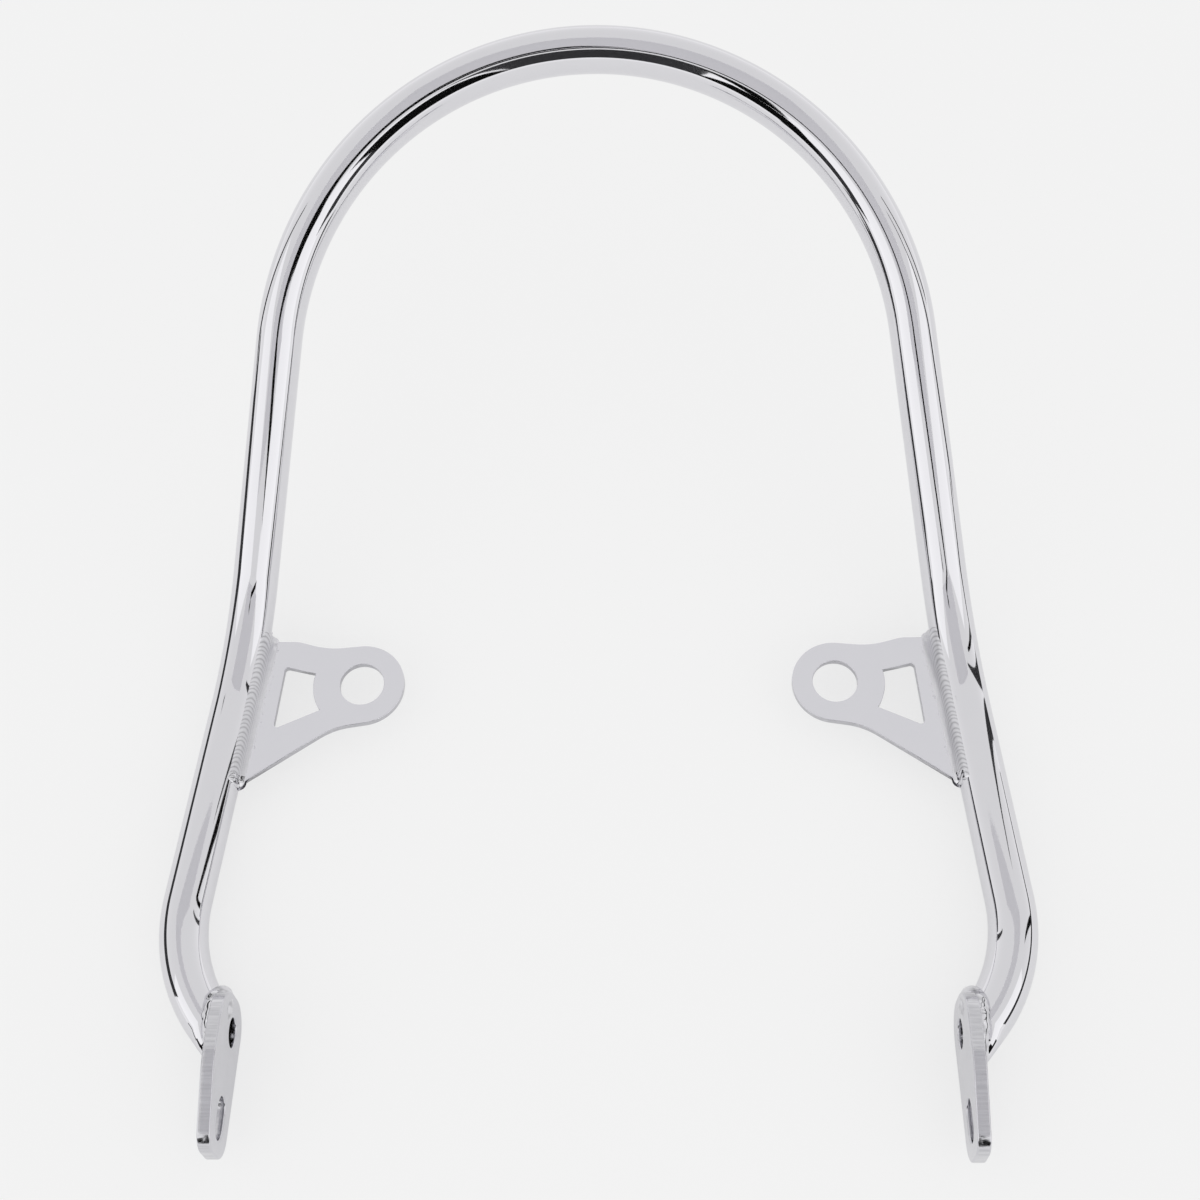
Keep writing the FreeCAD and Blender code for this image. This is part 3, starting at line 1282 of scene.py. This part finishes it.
def facing(azimuth: float, elevation: float, distance: float) -> Matrix:
    """Place that looks back at the rail.

    Args:
        azimuth: Degrees from +Y towards +X.
        elevation: Degrees up.
        distance: Metres from the rail.

    Returns:
        The matrix, its -Z towards the rail.
    """
    away = toward(azimuth, elevation)
    return Matrix.Translation(away * distance) @ away.to_track_quat("Z", "Y").to_matrix().to_4x4()


def spread(angle: float, distance: float) -> float:
    """Width that fills an angle at a distance."""
    return 2.0 * distance * math.tan(math.radians(angle) / 2.0)


@dataclass(frozen=True)
class Softbox:
    """A large soft lamp, by where it stands, the angles it fills and how bright its face is."""

    azimuth: float
    elevation: float
    wide: float
    tall: float
    radiance: float
    distance: float = 8.0

    def build(self, name: str) -> None:
        """Hang the lamp.

        Args:
            name: Name of the lamp.
        """
        lamp = bpy.data.lights.new(name, "AREA")
        lamp.shape = "RECTANGLE"
        lamp.size = spread(self.wide, self.distance)
        lamp.size_y = spread(self.tall, self.distance)
        lamp.energy = self.radiance * math.pi * lamp.size * lamp.size_y
        holder = bpy.data.objects.new(name, lamp)
        holder.matrix_world = facing(self.azimuth, self.elevation, self.distance)
        bpy.context.scene.collection.objects.link(holder)


@dataclass(frozen=True)
class Card:
    """A card that only the chrome mirrors, by its finish and its four corners."""

    finish: Matt
    corners: tuple[tuple[float, ...], ...]
    distance: float = 6.0

    def corner(self, spot: tuple[float, ...]) -> Vector:
        """Place of a corner: x, y, z in metres, or azimuth and elevation of a far one."""
        return Vector(spot) if len(spot) == 3 else toward(*spot) * self.distance

    def build(self, name: str) -> None:
        """Stand the card where only reflections see it.

        Args:
            name: Name of the card.
        """
        bm = bmesh.new()
        bmesh.ops.create_grid(bm, x_segments=1, y_segments=1, size=0.5)
        spots = sorted(bm.verts, key=lambda v: math.atan2(v.co.y, v.co.x))
        for vert, spot in zip(spots, self.corners):
            vert.co = self.corner(spot)
        card = stage_piece(bm, name, self.finish)
        card.visible_camera = False
        card.visible_diffuse = False
        card.visible_shadow = False


def side_card(x: float, *spots: Pair) -> Card:
    """Dark card upright beside the rail, by its X and the Y and Z of its corners in metres."""
    return Card(DARK_CARD, tuple((x, *spot) for spot in spots))


@dataclass
class Studio:
    """Pale floor, sky that brightens to its horizon, softboxes, cards and the camera."""

    floor_z: float = -0.0132
    floor_size: float = 40.0
    sky: float = 0.84
    horizon: float = 0.2
    backdrop: float = 0.888
    lens: float = 48.3
    eye: tuple[float, float, float] = (0.02610, -0.28062, 0.60989)
    turn_deg: tuple[float, float, float] = (27.7, 2.11, -0.49)
    softboxes: tuple[Softbox, ...] = tuple(
        Softbox(azimuth, 31.0, wide, tall, radiance)
        for azimuth in (134.0, -134.0)
        for wide, tall, radiance in ((72.0, 36.0, 0.25), (58.0, 24.0, 0.4)))
    cards: tuple[Card, ...] = (
        Card(DARK_CARD, ((171.0, 8.0), (198.0, 8.0), (189.0, 47.0), (176.0, 47.0))),
        Card(BLACK_CARD, ((147.0, 8.0), (171.0, 8.0), (173.0, 40.0), (159.0, 38.0))),
        Card(BLACK_CARD, ((197.0, 8.0), (222.0, 6.0), (205.0, 30.0), (197.0, 29.0))),
        Card(BLACK_CARD, ((199.0, 29.0), (203.0, 31.0), (191.0, 48.0), (186.0, 46.0))),
        Card(DARK_CARD, ((132.0, 5.0), (149.0, 8.0), (152.0, 21.0), (133.0, 18.0))),
        Card(DARK_CARD, ((213.0, 4.0), (231.0, 6.0), (229.0, 18.0), (208.0, 24.0))),
        Card(DARK_CARD, ((230.0, 0.5), (251.0, 0.5), (251.0, 4.0), (230.0, 7.0))),
        Card(BLACK_CARD, ((183.0, 62.0), (189.0, 59.0), (194.0, 64.0), (187.0, 68.0)), distance=3.0),
        Card(BLACK_CARD, ((159.0, 45.5), (190.0, 56.5), (190.0, 60.5), (159.0, 50.0)), distance=3.0),
        Card(BLACK_CARD, ((76.0, 8.0), (79.0, 8.0), (79.5, 42.0), (77.0, 40.0))),
        side_card(-0.47, (-0.18, 0.01), (0.19, 0.0), (0.19, 0.09), (-0.18, 0.11)),
        side_card(0.45, (0.115, -0.01), (0.145, -0.01), (0.13, 0.5), (0.115, 0.5)),
        side_card(-0.47, (0.20, 0.0), (0.24, 0.0), (0.23, 0.40), (0.21, 0.40)),
        side_card(0.46, (-0.26, 0.02), (0.10, 0.03), (0.10, 0.05), (-0.26, 0.09)),
        Card(PALE_CARD, ((-1.5, -2.2, 3.0), (1.5, -2.2, 3.0), (1.5, 0.85, 3.0), (-1.5, 0.85, 3.0))),
    )

    def build(self) -> None:
        """Set up the whole studio."""
        bm = bmesh.new()
        bmesh.ops.create_grid(
            bm, x_segments=1, y_segments=1, size=self.floor_size / 2.0,
            matrix=Matrix.Translation((0.0, 0.0, self.floor_z)))
        stage_piece(bm, "floor", FLOOR_PAPER)
        for k, softbox in enumerate(self.softboxes):
            softbox.build("softbox_%d" % k)
        for k, card in enumerate(self.cards):
            card.build("card_%d" % k)
        self.hang_sky()
        self.stand_camera()

    def hang_sky(self) -> None:
        """Light the studio from all round, with the floor's tone behind it for the camera."""
        world = bpy.data.worlds.new("sky")
        graph = Graph(world)
        direction = graph.add("ShaderNodeTexCoord").outputs["Generated"]
        low = 1.0 - Signal(graph, graph.add("ShaderNodeSeparateXYZ", None, {0: direction}).outputs["Z"])
        glow = low * low * low * self.horizon + self.sky
        seen = graph.light_path("Is Camera Ray")[0]
        light = glow + seen * (self.backdrop - glow)
        sockets = {"Color": (1.0, 1.0, 1.0, 1.0), "Strength": light}
        back = graph.add("ShaderNodeBackground", None, sockets)
        graph.add("ShaderNodeOutputWorld", None, {"Surface": back.outputs[0]})
        bpy.context.scene.world = world

    def stand_camera(self) -> None:
        """Place the camera at the viewing angle."""
        camera = bpy.data.objects.new("camera", bpy.data.cameras.new("camera"))
        camera.data.lens = self.lens
        turns = [Matrix.Rotation(math.radians(a), 4, axis) for a, axis in zip(self.turn_deg, "XYZ")]
        camera.matrix_world = Matrix.Translation(self.eye) @ turns[0] @ turns[1] @ turns[2]
        bpy.context.scene.collection.objects.link(camera)
        bpy.context.scene.camera = camera


def main() -> None:
    """Build the rail piece by piece, then its studio."""
    logging.basicConfig(level=logging.INFO, format="%(name)s %(message)s")
    bpy.context.scene.view_settings.view_transform = "Standard"
    tube = RailTube()
    tube.dress()
    for side in Side:
        plate = GussetPlate(side, tube)
        plate.dress()
        EndTab(side).dress()
        for level in Level:
            seed = GUSSET_SEED + 2 * side.value + level.value
            GussetWeld(side, level, tube, plate.thickness, seed).dress()
        TabWeld(side, seed=TAB_SEED + side.value, centre=tube.end).dress()
    Studio().build()


if __name__ == "__main__":
    main()
